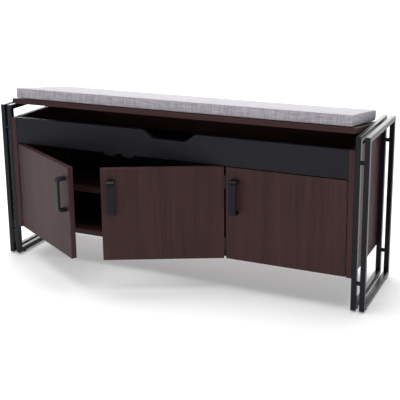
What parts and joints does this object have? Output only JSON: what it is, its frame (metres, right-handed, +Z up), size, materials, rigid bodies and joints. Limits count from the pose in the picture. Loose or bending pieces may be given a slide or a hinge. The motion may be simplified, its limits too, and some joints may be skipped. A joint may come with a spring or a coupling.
{
  "type": "storage bench",
  "caption": "Long low bench: cupboard with three hinged doors between twin square-tube end loops, and a shallow tray under a hinged seat lid with a fabric cushion.",
  "frame": {"origin": "on the floor, at the middle of the footprint of the end frames", "axes": "+X to the bench's right as seen from the front, along its length; +Y to the back; +Z up"},
  "size_m": [1.2, 0.4965, 0.5611],
  "materials": {
    "frame_paint": "satin black powder coat",
    "brown_board": "dark brown wood-grain laminate, satin",
    "black_board": "charcoal laminate, satin",
    "back_board": "thin dark hardboard",
    "seat_fabric": "light grey melange weave over foam",
    "hook_and_loop": "black hook-and-loop tape",
    "pull_paint": "satin black",
    "black_plastic": "matt black",
    "black_rubber": "matt black",
    "dowel_wood": "bare beech",
    "spacer_paint": "satin black",
    "black_fastener": "blackened steel",
    "hinge_steel": "blackened steel",
    "plated_steel": "zinc plated"
  },
  "bodies": {
    "cabinet": {"back_panel": "back_board", "bottom_panel": "brown_board", "cabinet_screws": "plated_steel", "cam_fittings": "plated_steel", "divider": "brown_board", "door_hinge_fixed_leaves": "hinge_steel", "foot_glides": "black_plastic", "frame_bolts": "black_fastener", "frame_spacers": "spacer_paint", "front_fascia": "black_board", "hinge_pins": "hinge_steel", "left_inner_bottom_bar": "frame_paint", "left_inner_front_post": "frame_paint", "left_inner_rear_post": "frame_paint", "left_inner_top_bar": "frame_paint", "left_outer_bottom_bar": "frame_paint", "left_outer_front_post": "frame_paint", "left_outer_rear_post": "frame_paint", "left_outer_top_bar": "frame_paint", "left_side_panel": "brown_board", "lid_buffers": "black_rubber", "lid_hinge_fixed_leaves": "hinge_steel", "magnetic_catches": "black_plastic", "panel_dowels": "dowel_wood", "rear_rail": "brown_board", "right_inner_bottom_bar": "frame_paint", "right_inner_front_post": "frame_paint", "right_inner_rear_post": "frame_paint", "right_inner_top_bar": "frame_paint", "right_outer_bottom_bar": "frame_paint", "right_outer_front_post": "frame_paint", "right_outer_rear_post": "frame_paint", "right_outer_top_bar": "frame_paint", "right_shelf": "brown_board", "right_side_panel": "brown_board", "shelf_pins": "plated_steel", "side_panel_screws": "black_fastener", "threaded_inserts": "plated_steel", "tray_floor": "black_board", "wide_shelf": "brown_board"},
    "left_door": {"left_door": "brown_board", "left_door_handle": "pull_paint", "left_door_hinge_leaves": "hinge_steel", "left_door_screws": "plated_steel", "left_door_strike_plate": "plated_steel"},
    "middle_door": {"middle_door": "brown_board", "middle_door_handle": "pull_paint", "middle_door_hinge_leaves": "hinge_steel", "middle_door_screws": "plated_steel", "middle_door_strike_plate": "plated_steel"},
    "right_door": {"right_door": "brown_board", "right_door_handle": "pull_paint", "right_door_hinge_leaves": "hinge_steel", "right_door_screws": "plated_steel", "right_door_strike_plate": "plated_steel"},
    "lid": {"cushion": "seat_fabric", "cushion_pads": "hook_and_loop", "lid_board": "brown_board", "lid_hinge_leaves": "hinge_steel", "lid_screws": "plated_steel"}
  },
  "joints": [
    {"name": "left_door_swing", "type": "hinge", "parent": "cabinet", "child": "left_door", "pos_m": [-0.5415, -0.148, 0.24075], "axis": [0, 0, -1], "range_deg": [-31, 64]},
    {"name": "middle_door_swing", "type": "hinge", "parent": "cabinet", "child": "middle_door", "pos_m": [0.17917, -0.148, 0.24075], "axis": [0, 0, 1], "range_deg": [-26, 69]},
    {"name": "right_door_swing", "type": "hinge", "parent": "cabinet", "child": "right_door", "pos_m": [0.5415, -0.148, 0.24075], "axis": [0, 0, 1], "range_deg": [0, 95]},
    {"name": "lid_tilt", "type": "hinge", "parent": "cabinet", "child": "lid", "pos_m": [0, 0.1469, 0.46675], "axis": [-1, 0, 0], "range_deg": [-8.5, 76.5]}
  ]
}
